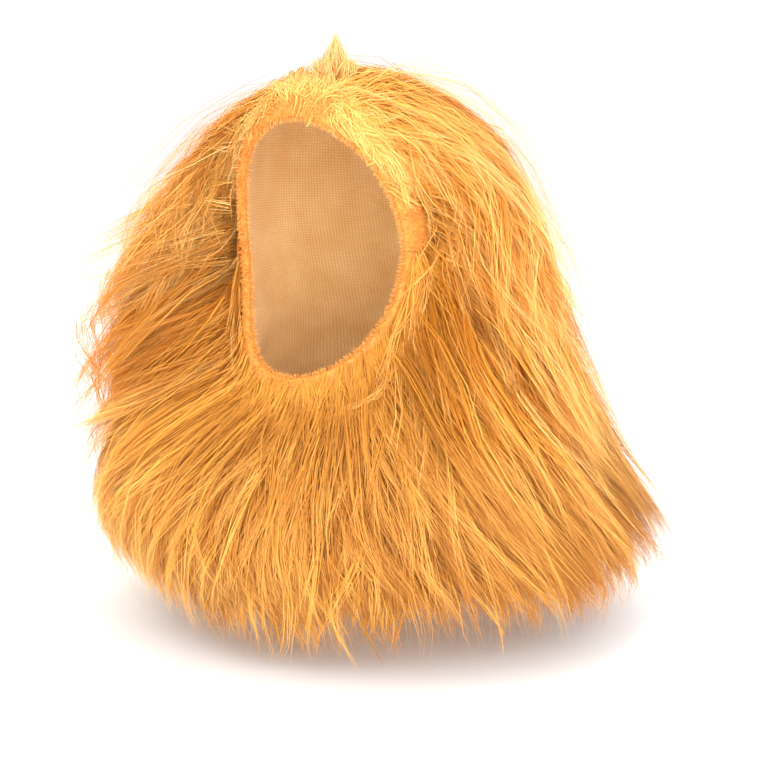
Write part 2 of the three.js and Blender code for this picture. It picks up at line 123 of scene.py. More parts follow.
def rows_at(table, ring):
    """Every column of a table at fractional rows, smoothed through the four nearest rows."""
    last = len(table) - 1
    at = np.clip(ring, 0, last)
    low = np.minimum(at.astype(int), last - 1)
    t = (at - low)[..., None]
    before, start, end, after = (table[np.clip(low + step, 0, last)] for step in (-1, 0, 1, 2))
    a, b = (end - before) / 2, (after - start) / 2
    cubic = 2 * start - 2 * end + a + b
    square = 3 * end - 3 * start - 2 * a - b
    return (cubic * t + square) * t * t + a * t + start


_front = HOOD[:, :2] * HOOD_SCALE[:2]
RING_DISTANCE = np.concatenate([[0], np.cumsum(np.linalg.norm(np.diff(_front, axis=0), axis=1))])
NECK_DISTANCE = RING_DISTANCE[NECK_RING]
LAST_DISTANCE = RING_DISTANCE[-1]


def surface(angle, distance, layer=0.0):
    """Points over the hood: an angle from the front, a distance from the crown, a share of the way out."""
    angle, distance, layer = np.broadcast_arrays(angle, distance, layer)
    ring = np.interp(distance, RING_DISTANCE, np.arange(len(HOOD)))
    hood = rows_at(HOOD, ring) * HOOD_SCALE
    pile = rows_at(PILE, ring) * PILE_DEPTH * layer[..., None]
    front_y = -hood[..., 0] - pile[..., 0]
    front_z = -hood[..., 1] + pile[..., 1]
    back_y = hood[..., 3] + pile[..., 3]
    back_z = -hood[..., 4] + pile[..., 4]
    half = hood[..., 2] + pile[..., 2]
    to_back = (1 - np.cos(angle)) / 2
    past = np.maximum(distance - LAST_DISTANCE, 0)
    return np.stack(
        [half * np.sin(angle), mix(front_y, back_y, to_back), mix(front_z, back_z, to_back) - past], -1
    )


def directions(angle, distance, layer=0.0):
    """Unit vectors round the hood, down it, and out of it."""
    turn, step = 0.01, 1 * MM
    distance = np.maximum(distance, 2 * MM)
    around = unit(surface(angle + turn, distance, layer) - surface(angle - turn, distance, layer))
    down = unit(surface(angle, distance + step, layer) - surface(angle, distance - step, layer))
    down = unit(down - around * np.sum(down * around, -1, keepdims=True))
    return around, down, np.cross(down, around)


FACE_MIDDLE = BROW_DISTANCE + FACE_HEIGHT / 2
_widest = surface(math.pi / 2, np.array(FACE_MIDDLE))[0]
FACE_HALF_ANGLE = math.asin(FACE_WIDTH / 2 / _widest)
FACE_RADIUS = (HANG_HALF_WIDTH * HOOD[5, 2] + HANG_FRONT_REACH * HOOD[5, 0]) / 2
BAND_MARGIN = BAND_WIDTH + BAND_GAP
# Over which share of the face opening's size the pile grows to its full depth, beside it and below it, and
# how much further it stands off at its lowest edge.
SIDE_FADE, CHIN_FADE = 0.27, 0.85
EDGE_FLARE = 0.42


def face_share(angle, distance, margin=BAND_MARGIN):
    """1 on the outline of the face opening with a margin, below 1 inside it."""
    aside = np.abs(np.arctan2(np.sin(angle), np.cos(angle)))
    across = aside / (FACE_HALF_ANGLE + margin / FACE_RADIUS)
    down = (distance - FACE_MIDDLE) / (FACE_HEIGHT / 2 + margin)
    return np.hypot(across, down), down


def face_fade(angle, distance, least=0.1):
    """How much of its depth the pile has near the face opening, and how it flares at the lowest edge."""
    out, down = face_share(angle, distance)
    span = mix(SIDE_FADE, CHIN_FADE, np.maximum(down / np.maximum(out, 1e-6), 0) ** 2)
    share = np.clip((out - 1) / span, 0, 1)
    aside = np.abs(angle)
    sides = smooth(0.5, 1.2, aside) * (1 - 0.6 * smooth(2.2, 3.0, aside))
    flare = 1 + EDGE_FLARE * smooth(350 * MM, 450 * MM, distance) * sides
    return mix(least, 1, 1 - (1 - share) ** 2) * flare


def beside_face(angle, distance):
    """1 on the pile at the two sides of the face, falling to 0 round it."""
    aside = np.abs(angle)
    round_ = smooth(0.9, 1.35, aside) * (1 - smooth(1.75, 2.3, aside))
    return round_ * smooth(80 * MM, 180 * MM, distance) * (1 - smooth(270 * MM, 400 * MM, distance))


def face_edge(turn, margin):
    """Angles and distances on the outline of the face opening with a margin. Turn 0 is its top."""
    return (
        (FACE_HALF_ANGLE + margin / FACE_RADIUS) * np.sin(turn),
        FACE_MIDDLE - (FACE_HEIGHT / 2 + margin) * np.cos(turn),
    )


def over_hood(angle, distance, height):
    """Points at a height over the hood's cloth."""
    return (
        surface(angle, distance)
        + directions(angle, distance)[2] * np.asarray(height)[..., None]
        + np.array([0, 0, BACKING_WALL])
    )


# Meshes, materials and their helpers
BAKE_MAP = "OFBake"
WEAVE_MAP = "Weave"


def add_object(name, data):
    thing = bpy.data.objects.new(name, data)
    bpy.context.scene.collection.objects.link(thing)
    return thing


def make_piece(name, points, faces, material, node, uvs):
    """A mesh from arrays that rides on the one body and replaces a CAD node. Faces have 3 or 4 columns."""
    mesh = bpy.data.meshes.new(name)
    loops = np.concatenate([f.ravel() for f in faces])
    sizes = np.concatenate([np.full(len(f), f.shape[1]) for f in faces])
    starts = np.concatenate([[0], np.cumsum(sizes)[:-1]])
    mesh.vertices.add(len(points))
    mesh.vertices.foreach_set("co", np.ascontiguousarray(points, np.float32).ravel())
    mesh.loops.add(len(loops))
    mesh.loops.foreach_set("vertex_index", loops.astype(np.int32))
    mesh.polygons.add(len(sizes))
    mesh.polygons.foreach_set("loop_start", starts.astype(np.int32))
    mesh.polygons.foreach_set("use_smooth", np.full(len(sizes), True))
    mesh.update(calc_edges=True)
    layer = mesh.uv_layers.new(name=BAKE_MAP)
    layer.data.foreach_set("uv", np.ascontiguousarray(uvs[loops], np.float32).ravel())
    mesh.validate()
    mesh.materials.append(material)
    piece = add_object(name, mesh)
    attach(piece, "root")
    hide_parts(node)
    return piece


def wire(node, inputs):
    """Sets inputs of a node: values as they are, other nodes' outputs as links. Returns its outputs."""
    for name, value in inputs.items():
        if isinstance(value, bpy.types.NodeSocket):
            node.id_data.links.new(value, node.inputs[name])
        else:
            node.inputs[name].default_value = value
    return node.outputs


def new_material(name, roughness, specular, sheen=0.0):
    material = bpy.data.materials.new(name)
    material.use_nodes = True
    nodes = material.node_tree.nodes
    shader = nodes["Principled BSDF"]
    wire(shader, {"Roughness": roughness, "Specular IOR Level": specular, "Sheen Weight": sheen})
    return material, nodes, shader


def linear(red, green, blue):
    """A screen colour of 0 to 255, as linear light."""
    def one(value):
        value /= 255
        return value / 12.92 if value <= 0.04045 else ((value + 0.055) / 1.055) ** 2.4

    return (one(red), one(green), one(blue), 1)


def ramp(nodes, source, stops):
    """A colour that follows a value through these stops."""
    node = nodes.new("ShaderNodeValToRGB")
    elements = node.color_ramp.elements
    while len(elements) < len(stops):
        elements.new(0.5)
    for element, (place, colour) in zip(elements, stops):
        element.position = place
        element.color = colour
    return wire(node, {"Fac": source})["Color"]


def blend(nodes, factor, a, b, kind="MIX"):
    node = nodes.new("ShaderNodeMix")
    node.data_type = "RGBA"
    node.blend_type = kind
    return wire(node, {"Factor": factor, "A": a, "B": b})["Result"]


def product(nodes, a, b):
    node = nodes.new("ShaderNodeMath")
    node.operation = "MULTIPLY"
    return wire(node, {0: a, 1: b})["Value"]


def uv_map(nodes, name):
    node = nodes.new("ShaderNodeUVMap")
    node.uv_map = name
    return node.outputs["UV"]


def object_place(nodes):
    return nodes.new("ShaderNodeTexCoord").outputs["Object"]


def noise(nodes, **inputs):
    return wire(nodes.new("ShaderNodeTexNoise"), inputs)["Fac"]


def crossed_waves(nodes, vector, scales, distortion, detail):
    """Two rows of bands across each other, as one value. Each has a direction and a scale."""
    waves = []
    for direction, scale in scales:
        wave = nodes.new("ShaderNodeTexWave")
        wave.bands_direction = direction
        inputs = {"Scale": scale, "Distortion": distortion, "Detail": detail, "Vector": vector}
        waves.append(wire(wave, inputs)["Fac"])
    return product(nodes, *waves)


def cover(nodes, shader, colour, value, roughness, grain, strength, depth):
    """Gives a shader its colour, roughness that follows a value, and bump that follows a grain."""
    low, high = roughness
    rough = wire(nodes.new("ShaderNodeMapRange"), {"Value": value, "To Min": low, "To Max": high})
    bump = wire(nodes.new("ShaderNodeBump"), {"Height": grain, "Strength": strength, "Distance": depth})
    wire(shader, {"Base Color": colour, "Roughness": rough["Result"], "Normal": bump["Normal"]})


# Where the painted shade at the root fades along a strand, and where its paler tip begins.
ROOT_FADE, ROOT_END = 0.32, 0.7
FADING_PAINTED_SHADE = (0.92, 0.9, 0.88, 1)
TIP_START = 0.4


def pile_material(name, tints, root_painted_shade, tip, tip_share):
    """Hair colour: a tint for each strand across the map, painted shade darkening the root and a paler tip
    up the map, the tip partly the fur's own and partly painted light.
    """
    material, nodes, shader = new_material(name, roughness=0.5, specular=0.3)
    split = wire(nodes.new("ShaderNodeSeparateXYZ"), {"Vector": uv_map(nodes, BAKE_MAP)})
    own, along = split["X"], split["Y"]
    count = len(tints) - 1
    tint = ramp(nodes, own, [(i / count, linear(*t)) for i, t in enumerate(tints)])
    stops = [(0.0, (*root_painted_shade, 1)), (ROOT_FADE, FADING_PAINTED_SHADE), (ROOT_END, (1, 1, 1, 1))]
    shaded = blend(nodes, 1.0, tint, ramp(nodes, along, stops), "MULTIPLY")
    # The paler tip: partly the fur's own lighter ends, partly painted light standing for light that shines
    # through thin hair.
    near_tip = {"Value": along, "From Min": TIP_START, "To Max": tip_share}
    pale_tip_and_painted_light = product(nodes, wire(nodes.new("ShaderNodeMapRange"), near_tip)["Result"], own)
    colour = blend(nodes, pale_tip_and_painted_light, shaded, linear(*tip))
    grain = noise(nodes, Scale=700, Vector=object_place(nodes))
    cover(nodes, shader, colour, along, (0.62, 0.44), grain, 0.25, 0.2 * MM)
    return material


GOLD_TINTS = [
    (182, 114, 34), (216, 145, 50), (237, 166, 62), (249, 183, 78), (255, 200, 102), (255, 222, 150),
]
PALE_TINTS = [(240, 172, 84), (248, 190, 106), (253, 206, 130), (255, 222, 160)]
PLUSH_TINTS = [(218, 138, 56), (236, 158, 70), (246, 172, 84), (253, 192, 108)]
# Each gets its tints, the painted shade at the roots, and the colour and share of the paler tip.
gold_pile = pile_material("gold_pile", GOLD_TINTS, (0.84, 0.8, 0.7), (255, 218, 146), 0.72)
pale_pile = pile_material("pale_pile", PALE_TINTS, (0.78, 0.7, 0.62), (255, 226, 168), 0.72)
plush_pile = pile_material("plush_pile", PLUSH_TINTS, (0.74, 0.66, 0.58), (255, 208, 132), 0.6)


# Strands: ribbons of a few quads that end in a point. Shares of their length, and the widths there.
SHARES = np.array([0.0, 0.13, 0.32, 0.54, 0.78, 1.0])
WIDTHS = np.array([0.85, 1.05, 1.0, 0.85, 0.5])
FINE = (SHARES, WIDTHS)
COARSE = (np.array([0.0, 0.3, 0.65, 1.0]), np.array([0.9, 1.0, 0.75]))
MAP_EDGE = 0.01
MAP_HALF_WIDTH = 0.004


def ribbons(points, lateral, outward, width, tint, steps=FINE, turned=0.36):
    """Ribbon vertices, faces and map places for strands given as (strands, steps, 3) points."""
    shares, widths = steps
    count, rows = points.shape[:2]
    tangent = unit(np.gradient(points, axis=1))
    twist = rng.normal(0, turned, count)[:, None, None]
    side = lateral * np.cos(twist) + outward * np.sin(twist)
    side = unit(side - tangent * np.sum(side * tangent, -1, keepdims=True))
    half = (width[:, None] * widths[None, :] / 2)[..., None]
    body = points[:, :-1]
    left, right = body - side[:, :-1] * half, body + side[:, :-1] * half
    verts = np.concatenate([np.stack([left, right], 2).reshape(count, -1, 3), points[:, -1:]], 1)
    per = 2 * (rows - 1) + 1
    base = (np.arange(count) * per)[:, None]
    k = np.arange(rows - 2) * 2
    quads = np.stack([base + k, base + k + 1, base + k + 3, base + k + 2], -1).reshape(-1, 4)
    tip = base[:, 0] + per - 1
    triangles = np.stack([tip - 2, tip - 1, tip], -1)
    middle = np.clip(tint, MAP_EDGE, 1 - MAP_EDGE)[:, None]
    sides = np.tile([-MAP_HALF_WIDTH, MAP_HALF_WIDTH], rows - 1)[None, :]
    u = np.concatenate([middle + sides, middle], 1)
    v = np.concatenate([np.repeat(shares[:-1], 2), [1.0]])
    uvs = np.stack([u, np.broadcast_to(v * (1 - 2 * MAP_EDGE) + MAP_EDGE, u.shape)], -1)
    return verts.reshape(-1, 3), quads, triangles, uvs.reshape(-1, 2)


def stack_ribbons(parts):
    """Several sets of ribbons as one."""
    starts = np.cumsum([0] + [len(part[0]) for part in parts])
    verts, quads, triangles, uvs = zip(*parts)
    faces = [np.concatenate([f + s for f, s in zip(rows, starts)]) for rows in (quads, triangles)]
    return np.concatenate(verts), faces, np.concatenate(uvs)


def ripple(angle, distance, scale, seed, waves=5):
    """A slow unevenness over the hood, mostly between -1 and 1."""
    x, y, z = np.moveaxis(surface(angle, distance), -1, 0)
    local = np.random.default_rng(seed)
    total = np.zeros_like(x)
    for _ in range(waves):
        a, b, c = local.normal(0, 1, 3) / scale
        total += np.sin(x * a + y * b + z * c + local.uniform(0, 2 * math.pi))
    return total / 3


# How the hair is combed, on the flat
CROWN_POLE = 105 * MM
COMB_STEPS = 18
FALL_WEIGHT = 2.5
AWAY_LOSS = 0.9
LOW_PULL, SIDE_PULL = 0.72, 0.34
CURVE, CURVE_TURNS, CURVE_SPREAD = 0.27, 6, 30


def laid_flat(heading, sin, cos):
    """Headings round and down the hood, turned into flat ones."""
    round_, down = heading[:, 0], heading[:, 1]
    return np.stack([round_ * cos + down * sin, round_ * sin - down * cos], -1)


def hair_flow(x, y, m, a, share, hang):
    """Which way the hair runs at flat places: away from the face, and further along more and more down."""
    sin, cos = np.sin(a), np.cos(a)
    below_middle = m - FACE_MIDDLE
    pole = mix(CROWN_POLE, FACE_MIDDLE, smooth(50 * MM, 130 * MM, m))
    away = unit(np.stack([x, y + pole], -1))
    # Near the face the hair leaves the opening square to its edge, and falls along that edge.
    square = unit(np.stack(
        [sin / (FACE_HALF_ANGLE**2 * FACE_RADIUS), below_middle / (FACE_HEIGHT / 2) ** 2], -1
    ))
    side = np.where(sin < 0, -1.0, 1.0)
    along_edge = np.stack([np.maximum(-square[:, 1], 0) * side, np.abs(square[:, 0])], -1)
    near = smooth(50 * MM, 100 * MM, m) * (1 - smooth(1.3, 2.1, np.abs(a)))
    above = 1 - smooth(-30 * MM, 0, below_middle)
    fall = unit(mix(np.array([0.0, 1.0]), along_edge, (near * above)[:, None]))
    away = unit(mix(away, laid_flat(square, sin, cos), near[:, None]))
    low = LOW_PULL * smooth(-20 * MM, 60 * MM, below_middle)
    low = np.maximum(low, SIDE_PULL * smooth(0.5, 1.0, np.abs(a)))
    pull = np.maximum(np.maximum(hang, low), smooth(0.02, 0.38, share))
    parted = np.maximum(smooth(0.05, 0.6, np.abs(a)), smooth(-30 * MM, 20 * MM, below_middle))
    pull = pull * smooth(20 * MM, 95 * MM, m) * parted
    fall = laid_flat(fall, sin, cos)
    return unit(away * (1.0 - AWAY_LOSS * pull)[:, None] + fall * (FALL_WEIGHT * pull)[:, None])


def comb(angle, distance, length, reach, bend, lift, hang, deep, least):
    """Paths over the hood from these roots, as a flat place for each step."""
    x, y = distance * np.sin(angle), -distance * np.cos(angle)
    places = [np.stack([x, y], -1)]
    step = length / COMB_STEPS
    for k in range(COMB_STEPS):
        share = (k + 0.5) / COMB_STEPS
        m = np.maximum(np.hypot(x, y), 1 * MM)
        a = np.arctan2(x, -y)
        flow = hair_flow(x, y, m, a, share, hang)
        turn = bend * (0.4 + share) + CURVE * np.sin(CURVE_TURNS * share + CURVE_SPREAD * bend)
        sin, cos = np.sin(turn), np.cos(turn)
        flow = np.stack([flow[:, 0] * cos - flow[:, 1] * sin, flow[:, 0] * sin + flow[:, 1] * cos], -1)
        sin, cos = np.sin(a), np.cos(a)
        down = flow[:, 0] * sin - flow[:, 1] * cos
        round_ = flow[:, 0] * cos + flow[:, 1] * sin
        # A step round the hood is shorter on the flat than on the pile, which stands further out.
        out = reach * rise(share, lift, deep) * face_fade(a, m, least)
        radius = np.linalg.norm(surface(a + 0.05, m, out) - surface(a - 0.05, m, out), axis=-1) / 0.1
        squeeze = m / np.maximum(radius, 5 * MM)
        x = x + (down * sin + round_ * squeeze * cos) * step
        y = y + (-down * cos + round_ * squeeze * sin) * step
        places.append(np.stack([x, y], -1))
    return np.stack(places, 1)


def rise(share, lift, deep=0.0):
    """How far out a strand is along its length, as a share of its reach. It may start deep in the pile."""
    bow = 1.7 - 0.55 * smooth(0.4, 1.0, np.asarray(lift))
    return mix(deep, 1, 1 - (1 - np.clip(share / lift, 0, 1)) ** bow)


def sample(paths, at):
    """Rows of paths at shares of their length, for each strand."""
    steps = paths.shape[1] - 1
    place = np.clip(at, 0, 1) * steps
    low = np.minimum(place.astype(int), steps - 1)
    rows = np.arange(len(paths))[:, None]
    return mix(paths[rows, low], paths[rows, low + 1], place - low)


# Locks, and how their hair draws together. The lower edge is uneven, mostly by little.
LOCK_SPACING = 25 * MM
LOCK_BEND = math.radians(13)
LOCK_HOLD, LOCK_GATHER = 0.6, 0.72
EDGE_UNEVEN, EDGE_BIAS, EDGE_FRAY = 62 * MM, 1.4, 8 * MM


def gather_locks(spacing, seed):
    """Large locks of the pile: where they start, and what their hair has in common."""
    angle, distance = roots(spacing, seed)
    local = np.random.default_rng(seed + 1)
    count = len(angle)
    bend = 0.8 * ripple(angle, distance, 30 * MM, 3) + 0.9 * local.normal(0, 1, count)
    return {
        "angle": angle,
        "distance": distance,
        "flat": flat_place(angle, distance),
        "bend": LOCK_BEND * bend,
        "length": local.uniform(0.78, 1.08, count),
        "reach": 1.02 - 0.42 * local.random(count) ** 2,
        "tint": local.normal(0, 0.075, count),
        "floor": EDGE_UNEVEN * local.random(count) ** EDGE_BIAS,
    }


def guide_hairs(angle, distance, length, reach, tint, straggle, locks, lay):
    """Guide hairs laid flat, with their reach, their tint and how far above the lowest edge they end."""
    count = len(angle)
    own_bend = np.radians(straggle) * rng.normal(0, 1, count)
    if locks is None:
        bend = own_bend + np.radians(straggle) * 0.8 * ripple(angle, distance, 28 * MM, 3)
        floor = EDGE_UNEVEN * rng.random(count) ** EDGE_BIAS
        return comb(angle, distance, length, reach, bend, **lay), reach, tint, floor
    flat = flat_place(angle, distance)
    lock = np.argmin(np.linalg.norm(flat[:, None] - locks["flat"][None], axis=-1), axis=1)
    length = length * locks["length"][lock]
    reach = reach * locks["reach"][lock]
    lock_bend = locks["bend"][lock]
    floor = locks["floor"][lock] + EDGE_FRAY * rng.random(count)
    paths = comb(angle, distance, length, reach, lock_bend + 0.5 * own_bend, **lay)
    middle = comb(locks["angle"][lock], locks["distance"][lock], length, reach, lock_bend, **lay)
    offset = paths[:, :1] - middle[:, :1]
    share = np.linspace(0, 1, paths.shape[1])[None, :, None]
    pulled = middle + offset * (1 - LOCK_GATHER * smooth(0, 1, share))
    paths = mix(paths, pulled, LOCK_HOLD * smooth(0.05, 0.75, share))
    return paths, reach, tint + locks["tint"][lock], floor


# Strands round a guide hair, in three twigs. Strays keep out of the clump, curl more and drift further.
TWIGS = 3
TWIG_SPREAD, OWN_SPREAD, HEIGHT_SPREAD = 0.55, 0.5, 0.55
TRIM, STRAY_TRIM, SHORTEST = (0.72, 1.0), (0.55, 1.0), 0.12
HOLD, STRAY_HOLD, TWIG_HOLD = (0.75, 1.1), 0.15, 0.62
FRIZZ, STRAY_FRIZZ, CURLS = 1.3, 2.2, (0.8, 2.2)
DRIFT, STRAY_DRIFT = 1.6, 6
WIDTH_RANGE = (0.7, 1.25)
STRAND_TINT, TWIG_TINT = 0.07, 0.03
ROOT_DEPTH = 0.8 * MM
FORWARD_LEAN = 0.3
OPENING_EDGE = 0.96


def grow(angle, distance, length, reach, per_guide, spread, width, tint, loose=0.2, clump=0.8, wave=1.0,
         straggle=9.0, lift=0.5, hang=0.0, deep=0.0, base=0.0, arc=0.0, least=0.1, steps=FINE, locks=None):
    """Strands round guide hairs with these roots. Returns their ribbons, each strand's guide, and which
    guides come over the face opening."""
    shares = steps[0]
    count = len(angle)
    lay = dict(lift=lift, hang=hang, deep=deep, least=least)
    paths, reach, tint, floor = guide_hairs(angle, distance, length, reach, tint, straggle, locks, lay)
    guide_angle, guide_distance = from_flat(paths)
    guide_angle = np.unwrap(guide_angle, axis=1)
    crossing = (face_share(guide_angle, guide_distance, 0.0)[0] < OPENING_EDGE).any(axis=1)
    lift, deep, arc, per_guide = (np.broadcast_to(value, count) for value in (lift, deep, arc, per_guide))

    def stand_off(at, a, m, rows):
        """How far out strands of these guides lie, as a share of the pile's depth."""
        return reach[rows, None] * rise(at, lift[rows, None], deep[rows, None]) * face_fade(a, m, least)

    along = np.linspace(0, 1, paths.shape[1])[None, :]
    out = stand_off(along, guide_angle, guide_distance, slice(None))
    height = surface(guide_angle, guide_distance, out)[..., 2]
    clear = (height > (LOWEST + floor)[:, None]).cumprod(axis=1).sum(axis=1) / paths.shape[1]
    cut = np.clip(clear, SHORTEST, 1.0)
    guide = np.repeat(np.arange(count), per_guide)
    total = len(guide)
    twig = guide * TWIGS + rng.integers(0, TWIGS, total)
    twig_place = rng.normal(0, TWIG_SPREAD, (count * TWIGS, 3))[twig]
    own_place = rng.normal(0, OWN_SPREAD, (total, 3))
    stray = rng.random(total) < loose
    trim = np.where(stray, rng.uniform(*STRAY_TRIM, total), rng.uniform(*TRIM, total)) * cut[guide]
    at = shares[None, :] * trim[:, None]
    a, m = sample(guide_angle[guide], at), sample(guide_distance[guide], at)
    out = stand_off(at, a, m, guide)
    around, _, outward = directions(a, m, out)
    here = surface(a, m, out)
    flow = unit(np.gradient(here, axis=1))
    flow = unit(flow - outward * np.sum(flow * outward, -1, keepdims=True))
    lateral = np.cross(outward, flow)
    share = np.broadcast_to(shares[None, :], a.shape)
    gather = smooth(0.05, 0.95, share)
    hold = np.where(stray, STRAY_HOLD, clump * rng.uniform(*HOLD, total))[:, None]
    keep_twig, keep_own = 1 - TWIG_HOLD * hold * gather, 1 - hold * gather
    side, along, height = (
        spread * (twig_place[:, k:k + 1] * keep_twig + own_place[:, k:k + 1] * keep_own) for k in range(3)
    )
    frizz = np.where(stray, STRAY_FRIZZ, FRIZZ)[:, None] * wave * MM * share
    turns = rng.uniform(*CURLS, total)[:, None]
    phase = rng.uniform(0, 2 * math.pi, (total, 2))
    curls = 2 * math.pi * turns * share
    curl_side, curl_height = (frizz * np.sin(curls + phase[:, k:k + 1]) for k in (0, 1))
    drift = np.where(stray, rng.normal(0, STRAY_DRIFT, total), rng.normal(0, DRIFT, total))[:, None] * MM
    side = side + curl_side + drift * share**1.6
    height = height * HEIGHT_SPREAD * smooth(0, 0.4, share) + 0.7 * curl_height + base
    arch = arc[guide][:, None] * smooth(0.0, 0.6, share)
    height = height - ROOT_DEPTH * (1 - smooth(0, 0.2, share)) + arch
    points = here + lateral * side[..., None] + flow * along[..., None] + outward * height[..., None]
    lean = FORWARD_LEAN * beside_face(a, m) * np.linalg.norm(here - surface(a, m), axis=-1)
    points = points - around * (np.sign(a) * lean)[..., None]
    strand_width = width * rng.uniform(*WIDTH_RANGE, total)
    tones = tint[guide] + STRAND_TINT * rng.normal(0, 1, total)
    tones = tones + TWIG_TINT * rng.normal(0, 1, count * TWIGS)[twig]
    return ribbons(points, lateral, outward, strand_width, tones, steps), guide, crossing


def roots(spacing, seed):
    """Evenly scattered root places over the hood outside the band, as angles and distances."""
    local = np.random.default_rng(seed)
    angles, distances = [], []
    distance = 5 * MM
    last = NECK_DISTANCE - 1 * MM
    jitter = 0.45
    while distance < last:
        ring = surface(np.linspace(0, 2 * math.pi, 73), distance)
        girth = np.linalg.norm(np.diff(ring, axis=0), axis=1).sum()
        count = max(int(round(girth / spacing)), 4)
        turn = (np.arange(count) + local.uniform(0, 1)) / count * 2 * math.pi
        turn = turn + local.uniform(-jitter, jitter, count) * 2 * math.pi / count
        angles.append(turn)
        distances.append(distance + local.uniform(-jitter, jitter, count) * spacing)
        distance += spacing
    angle = np.concatenate(angles)
    angle = np.arctan2(np.sin(angle), np.cos(angle))
    distance = np.clip(np.concatenate(distances), 4 * MM, last)
    keep = face_share(angle, distance)[0] > 0.995
    return angle[keep], distance[keep]


UPPER_REACH = 150 * MM
REGIONS = [
    ("left_pile_upper", "left_fur"), ("left_pile_lower", "left_fur"), ("right_pile_upper", "right_fur"),
    ("right_pile_lower", "right_fur"), ("bib_pile", "bib_fur"), ("nape_pile", "nape_fur"),
]
BIB, NAPE = 4, 5


def region(angle, distance):
    """Which of the regions a root belongs to."""
    aside = np.abs(angle)
    run = np.clip((distance - NAPE_DISTANCE) / NAPE_RUN, 0, 1)
    nape = (math.pi - aside) < NAPE_ANGLE * np.sqrt(1 - (1 - run) ** 2)
    bib = (aside < BIB_ANGLE) & (distance > FACE_MIDDLE)
    side = np.where(angle > 0, 0, 2) + np.where(distance < UPPER_REACH, 0, 1)
    return np.where(bib, BIB, np.where(nape, NAPE, side))


def pick_ribbons(made, guide, chosen):
    """The ribbons whose guide is chosen."""
    verts, quads, triangles, uvs = made
    per = len(verts) // len(guide)
    take = chosen[guide]
    order = np.cumsum(take) - 1
    vert_take = np.repeat(take, per)

    def keep(faces):
        owner = faces[:, 0] // per
        faces = faces[take[owner]]
        owner = owner[take[owner]]
        return faces - ((owner - order[owner]) * per)[:, None]

    return verts[vert_take], keep(quads), keep(triangles), uvs[vert_take]


# What varies over the pile
def lengths(distance, low, high):
    """Random lengths, a fifth shorter at the crown."""
    return mix(low, high, rng.random(len(distance))) * (1 - 0.2 * (1 - smooth(10 * MM, 90 * MM, distance)))


def tone(angle, distance, middle):
    """Places in the row of tints: deeper with painted shade low on the wearer's left, paler with painted
    light on the right and above.
    """
    left = np.sin(angle)
    # Painted shade on the low edge, most on the wearer's left; painted light on the wearer's right and
    # near the crown. The patches and the noise are the fur's own uneven tone.
    painted_low_shade = smooth(150 * MM, 310 * MM, distance) * (0.55 + 0.45 * left)
    outer = smooth(1.15, 1.7, face_share(angle, distance)[0])
    painted_light_side = 0.28 * smooth(0.1, 1.0, -left) * smooth(50 * MM, 130 * MM, distance) * mix(0.6, 1, outer)
    painted_top_light = 0.1 * (1 - smooth(90 * MM, 190 * MM, distance)) * smooth(30 * MM, 80 * MM, distance)
    patches = 0.11 * ripple(angle, distance, 30 * MM, 11)
    return middle + painted_light_side + painted_top_light - 0.72 * painted_low_shade + patches + rng.normal(0, 0.07, len(angle))


def haunch(angle, distance):
    """1 on the two rear quarters, low down."""
    aside = np.abs(angle)
    round_ = smooth(1.7, 2.1, aside) * (1 - smooth(2.4, 2.9, aside))
    return round_ * smooth(170 * MM, 250 * MM, distance)


def temple(distance):
    """1 where the pile lies closer, between the crown and the widest part."""
    return smooth(20 * MM, 55 * MM, distance) * (1 - smooth(95 * MM, 140 * MM, distance))


# The fine sets of long hair. Heads are the strands to a guide hair, elsewhere and on the nape.
LONG_SETS = [
    dict(seed=33, spacing=8.8 * MM, heads=(13, 8), tint=0.5, top=1.0),
    dict(seed=34, spacing=9.8 * MM, heads=(16, 10), tint=0.58, top=1.0),
    dict(seed=35, spacing=7.2 * MM, heads=(13, 10), tint=0.6, top=0.13),
]
# Hair rooted beside the face band or on it: half turns round the opening from its top, how many, a start
# from the opening's edge, margins in mm from there, lengths in mm, reaches, the tint and the strands.
EDGE_SETS = [
    # Full, wide hair low beside the band.
    ((0, 2), 900, BAND_MARGIN, (-1, 62), (50, 95), (0.2, 0.6), 0.45, dict(
        per_guide=8, spread=8 * MM, width=1.15 * MM, loose=0.1, clump=0.5, lift=0.8,
        straggle=12.0, hang=0.3, least=0.34, steps=COARSE,
    )),
    # Softer hair over it that turns over and falls.
    ((0, 2), 760, BAND_MARGIN, (0, 48), (70, 135), (0.55, 1.1), 0.55, dict(
        per_guide=13, spread=8 * MM, width=0.6 * MM, loose=0.14, clump=0.55,
        wave=0.7, lift=0.75, straggle=8.0, hang=0.36, least=0.42,
    )),
    # Shorter hair along the edge of the band, which hides the roots behind it.
    ((0, 2), 430, BAND_MARGIN, (-1, 12), (45, 130), (0.4, 1.0), 0.64, dict(
        per_guide=13, spread=6 * MM, width=0.65 * MM, loose=0.2, clump=0.8,
        lift=0.85, straggle=10.0, hang=0.3, least=0.34,
    )),
    # Hair that starts on the chin band and falls over it.
    ((0.503, 1.497), 560, 0, (0.5, 20), (70, 150), (0.5, 1.0), 0.62, dict(
        per_guide=14, spread=3.5 * MM, width=0.65 * MM, loose=0.22, clump=0.8,
        lift=0.9, hang=0.7, straggle=13.0, base=5.5 * MM,
    )),
    # Short hair on the outer half of the brow band.
    ((-0.34, 0.34), 300, 0, (6, 21), (18, 44), (0.5, 1.0), 0.66, dict(
        per_guide=14, spread=5 * MM, width=0.6 * MM, loose=0.35, clump=0.7,
        lift=0.7, straggle=22.0, base=3 * MM,
    )),
]


